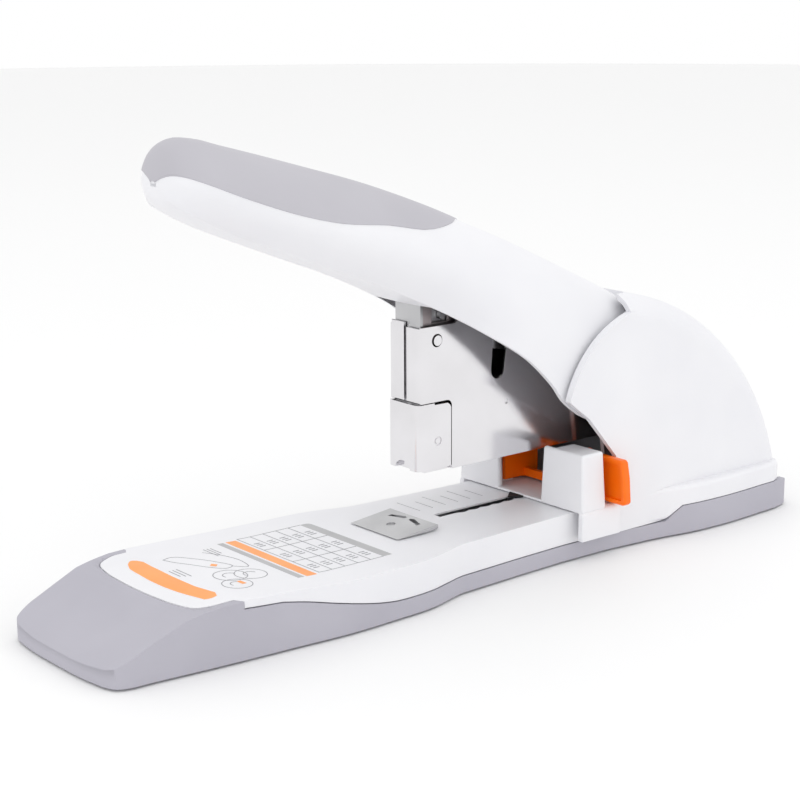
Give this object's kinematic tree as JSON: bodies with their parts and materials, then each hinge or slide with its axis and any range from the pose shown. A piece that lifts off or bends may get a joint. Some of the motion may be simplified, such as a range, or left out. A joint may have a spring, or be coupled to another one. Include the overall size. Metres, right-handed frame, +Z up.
{
  "type": "stapler",
  "caption": "Long-arm heavy-duty desk stapler: broad base with anvil and sliding paper guide, steel stapling head and a raised padded press-down handle.",
  "frame": {"origin": "centre of the bounding box's bottom face, on the desk", "axes": "+X from the nose to the back, +Y across, +Z up from the desk"},
  "size_m": [0.292, 0.074, 0.1479],
  "materials": {
    "white_plastic": "satin white moulded plastic",
    "grey_plastic": "matte light grey plastic",
    "orange_plastic": "satin orange plastic",
    "chrome": "bright nickel plated sheet steel",
    "steel": "zinc plated steel",
    "rubber": "black rubber"
  },
  "bodies": {
    "base": {"base_tray": "grey_plastic", "base_cover": "white_plastic", "base_plate": "steel", "anvil_riser": "steel", "anvil_plate": "chrome", "foot_1": "rubber", "foot_2": "rubber", "foot_3": "rubber", "foot_4": "rubber", "base_screw_1": "steel", "base_screw_2": "steel", "base_screw_3": "steel", "base_screw_4": "steel", "rear_housing": "white_plastic", "pivot_bracket": "steel", "handle_pin": "steel", "head_pin": "steel", "lift_spring": "steel", "handle_spring": "steel"},
    "handle": {"handle_shell": "white_plastic", "handle_pad": "grey_plastic", "grip_cover": "white_plastic", "handle_frame": "steel", "frame_screw_near": "steel", "frame_screw_far": "steel"},
    "head": {"side_plate_near": "chrome", "side_plate_far": "chrome", "nose_block": "chrome", "front_rivet_near": "chrome", "front_rivet_far": "chrome", "head_spacer": "steel", "lever_pin": "steel", "magazine_floor": "chrome", "staple_rail": "steel", "staple_strip": "steel", "spring_stop": "steel", "follower_spring": "steel"},
    "lever": {"drive_lever": "steel", "drive_pin": "steel", "link_pin": "steel"},
    "driver": {"driver_block": "chrome", "driver_blade": "steel"},
    "staple_pusher": {"follower": "steel"},
    "guide": {"paper_guide": "white_plastic", "guide_foot": "grey_plastic", "guide_pointer": "rubber", "release_spring": "steel"},
    "release": {"release_grip": "orange_plastic"}
  },
  "joints": [
    {"name": "handle_hinge", "type": "hinge", "parent": "base", "child": "handle", "pos_m": [0.0678, 0, 0.0445], "axis": [0, -1, 0], "range_deg": [0, 22], "stiffness_Nm_per_rad": 1.2, "springref_deg": -34.38},
    {"name": "head_hinge", "type": "hinge", "parent": "base", "child": "head", "pos_m": [0.1175, 0, 0.042], "axis": [0, -1, 0], "range_deg": [0, 6], "deforming": ["lift_spring"]},
    {"name": "lever_hinge", "type": "hinge", "parent": "head", "child": "lever", "pos_m": [0.094, 0, 0.062], "axis": [0, -1, 0], "range_deg": [0, 9.9]},
    {"name": "driver_slide", "type": "slide", "parent": "head", "child": "driver", "axis": [0, 0, -1], "range_m": [0, 0.0173]},
    {"name": "follower_slide", "type": "slide", "parent": "head", "child": "staple_pusher", "axis": [1, 0, 0], "range_m": [0, 0.018], "stiffness_N_per_m": 25, "springref_m": -0.02, "deforming": ["follower_spring"]},
    {"name": "guide_slide", "type": "slide", "parent": "base", "child": "guide", "axis": [-1, 0, 0], "range_m": [0, 0.034]},
    {"name": "release_slide", "type": "slide", "parent": "guide", "child": "release", "axis": [-1, 0, 0], "range_m": [0, 0.0024], "stiffness_N_per_m": 400, "springref_m": -0.002, "deforming": ["release_spring"]}
  ],
  "couplings": [
    {"joint": "head_hinge", "follows": "handle_hinge", "ratio": 0.2727},
    {"joint": "lever_hinge", "follows": "handle_hinge", "ratio": 0.45},
    {"joint": "driver_slide", "follows": "handle_hinge", "m_per_rad": 0.04505}
  ]
}
